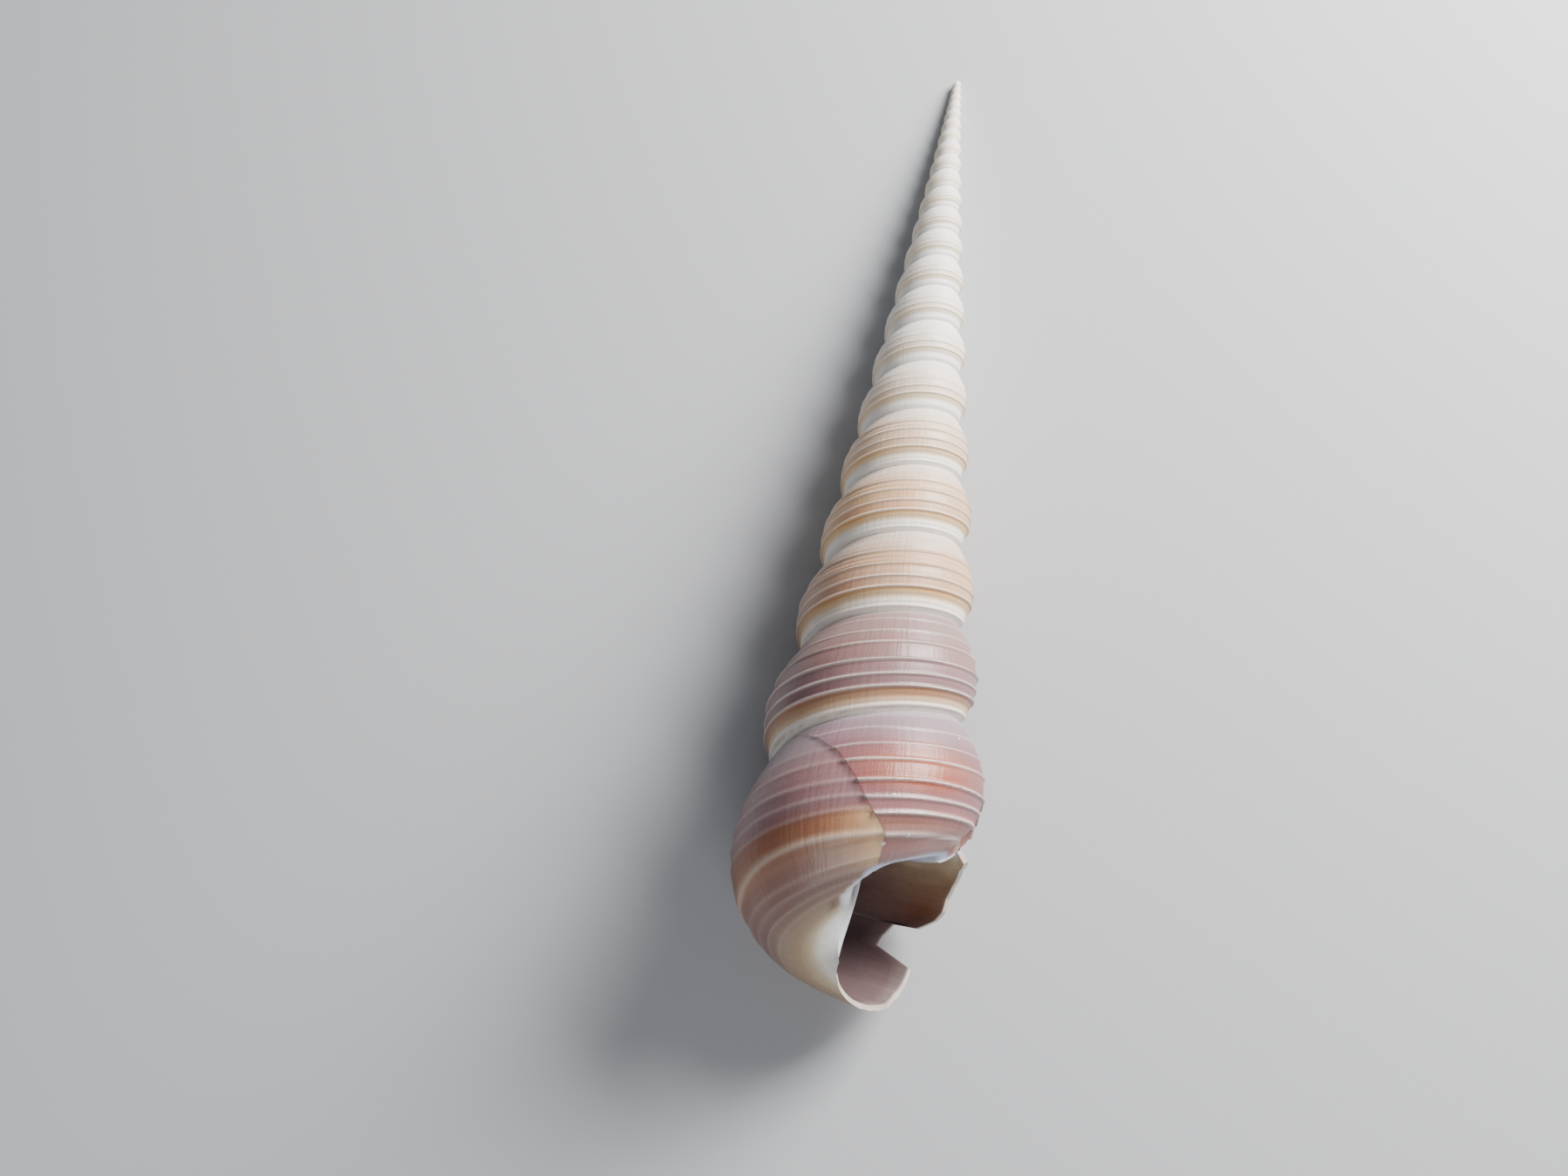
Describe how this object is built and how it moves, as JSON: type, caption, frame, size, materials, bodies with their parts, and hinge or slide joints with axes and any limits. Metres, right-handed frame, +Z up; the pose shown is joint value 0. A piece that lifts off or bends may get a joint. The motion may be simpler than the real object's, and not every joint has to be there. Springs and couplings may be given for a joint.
{
  "type": "fossil screw shell",
  "caption": "Tall, tightly wound screw shell lying on its side, with swollen ribbed whorls, a sharp spire and an open mouth with a broken thin lip.",
  "frame": {"origin": "bottom centre of the bounding box, on the surface that the shell lies on", "axes": "+Y along the shell towards its sharp point, +Z up, the mouth opens upwards at the -Y end on the +X side"},
  "size_m": [0.0254, 0.1202, 0.025],
  "materials": {
    "shell": "naturally banded shell, half gloss, cream to reddish brown"
  },
  "bodies": {
    "root": {"shell": "shell"}
  },
  "joints": []
}
